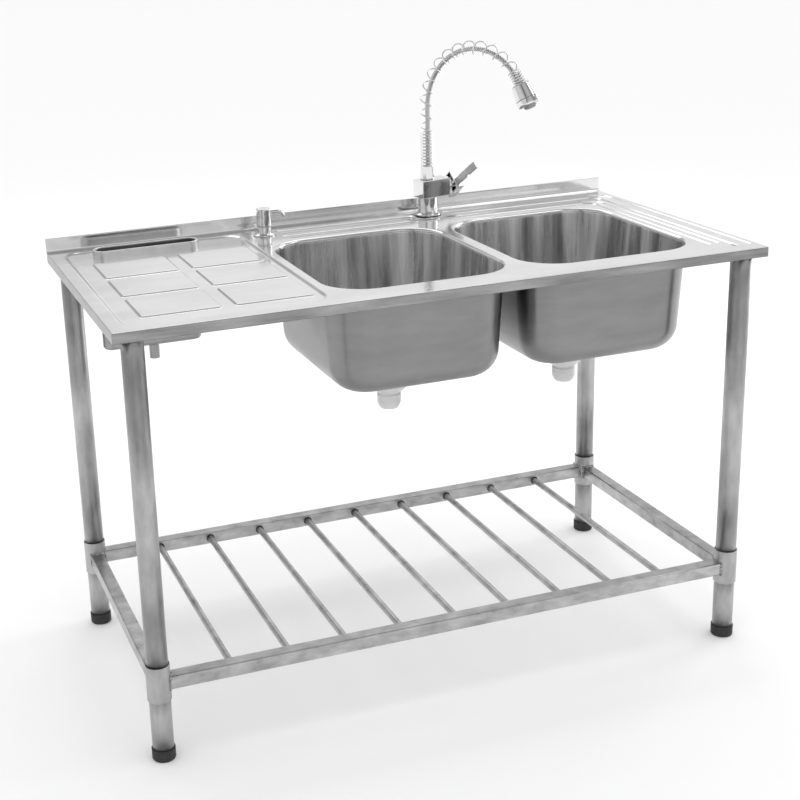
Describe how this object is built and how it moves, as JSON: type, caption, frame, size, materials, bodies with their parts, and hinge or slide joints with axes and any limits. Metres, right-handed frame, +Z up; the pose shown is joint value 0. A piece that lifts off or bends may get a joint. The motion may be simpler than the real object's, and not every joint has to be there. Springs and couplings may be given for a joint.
{
  "type": "catering sink",
  "caption": "Free-standing stainless catering sink on a tubular stand with slatted shelf, drainer, deep bowls, knife holder, soap pump and spring spray tap.",
  "frame": {"origin": "on the floor under the centre of the worktop", "axes": "+X along the worktop from the drainer to the right-hand bowl, +Y towards the wall, +Z up"},
  "size_m": [1.2, 0.6, 1.1363],
  "materials": {
    "worktop_steel": "fine satin sheet",
    "bowl_steel": "satin drawn sheet, brighter lip",
    "strainer_steel": "polished pressing",
    "white_plastic": "milky translucent moulding",
    "black_rubber": "matt",
    "knife_holder_steel": "dark satin",
    "stand_steel": "mottled satin tube",
    "chrome": "mirror",
    "spring_wire": "mirror wire",
    "braided_hose": "fine braid",
    "fixing_steel": "plain",
    "grey_plastic": "satin",
    "bottle_plastic": "milky translucent"
  },
  "bodies": {
    "sink": {"bowl_left": "bowl_steel", "bowl_right": "bowl_steel", "foot_caps": "black_rubber", "knife_box": "knife_holder_steel", "knife_collar": "knife_holder_steel", "leg_front_left": "stand_steel", "leg_front_right": "stand_steel", "leg_rear_left": "stand_steel", "leg_rear_right": "stand_steel", "leg_sockets": "stand_steel", "lower_legs": "stand_steel", "rail_front": "stand_steel", "rail_left": "stand_steel", "rail_rear": "stand_steel", "rail_right": "stand_steel", "shelf_bar_1": "stand_steel", "shelf_bar_2": "stand_steel", "shelf_bar_3": "stand_steel", "shelf_bar_4": "stand_steel", "shelf_bar_5": "stand_steel", "shelf_bar_6": "stand_steel", "shelf_bar_7": "stand_steel", "shelf_bar_8": "stand_steel", "shelf_bar_9": "stand_steel", "sleeve_front_left": "stand_steel", "sleeve_front_right": "stand_steel", "sleeve_rear_left": "stand_steel", "sleeve_rear_right": "stand_steel", "soap_bottle": "bottle_plastic", "soap_flange": "chrome", "soap_nut": "grey_plastic", "strainer_cup_left": "strainer_steel", "strainer_cup_right": "strainer_steel", "tap_base": "chrome", "tap_block": "chrome", "tap_cartridge": "grey_plastic", "tap_column": "chrome", "tap_fixings": "fixing_steel", "tap_gasket": "black_rubber", "waste_body_left": "white_plastic", "waste_body_right": "white_plastic", "waste_screws": "strainer_steel", "waste_seals": "black_rubber", "waste_tail_left": "white_plastic", "waste_tail_right": "white_plastic", "worktop": "worktop_steel"},
    "spout": {"tap_ferrule": "chrome", "tap_spring": "spring_wire", "tap_hose": "braided_hose", "spray_body": "chrome"},
    "spray_ring": {"spray_ring": "chrome", "spray_nozzle": "grey_plastic"},
    "lever_carrier": {"lever_carrier": "chrome"},
    "lever": {"tap_lever": "chrome"},
    "pump_stem": {"soap_stem": "chrome"},
    "pump_head": {"soap_head": "chrome"},
    "basket_left": {"basket_left": "strainer_steel", "basket_stopper_left": "black_rubber"},
    "basket_right": {"basket_right": "strainer_steel", "basket_stopper_right": "black_rubber"}
  },
  "joints": [
    {"name": "spout_swivel", "type": "hinge", "parent": "sink", "child": "spout", "pos_m": [0.178, 0.252, 0.86], "axis": [0, 0, 1], "range_deg": [-115, 65]},
    {"name": "spray_ring_turn", "type": "hinge", "parent": "spout", "child": "spray_ring", "pos_m": [0.27729, 0.03908, 1.05985], "axis": [0.2113, -0.4532, -0.866], "range_deg": [0, 45]},
    {"name": "lever_turn", "type": "hinge", "parent": "sink", "child": "lever_carrier", "pos_m": [0.178, 0.252, 0.836], "axis": [0.9781, 0.2079, 0], "range_deg": [-47, 43]},
    {"name": "lever_lift", "type": "hinge", "parent": "lever_carrier", "child": "lever", "pos_m": [0.21028, 0.25886, 0.836], "axis": [-0.1418, 0.6671, 0.7314], "range_deg": [0, 20]},
    {"name": "pump_press", "type": "slide", "parent": "sink", "child": "pump_stem", "axis": [0, 0, -1], "range_m": [0, 0.012], "stiffness_N_per_m": 600, "springref_m": -0.01},
    {"name": "pump_turn", "type": "hinge", "parent": "pump_stem", "child": "pump_head", "pos_m": [-0.178, 0.241, 0.815], "axis": [0, 0, 1], "continuous": true},
    {"name": "basket_left_lift", "type": "slide", "parent": "sink", "child": "basket_left", "axis": [0, 0, 1], "range_m": [0, 0.25]},
    {"name": "basket_right_lift", "type": "slide", "parent": "sink", "child": "basket_right", "axis": [0, 0, 1], "range_m": [0, 0.25]}
  ]
}
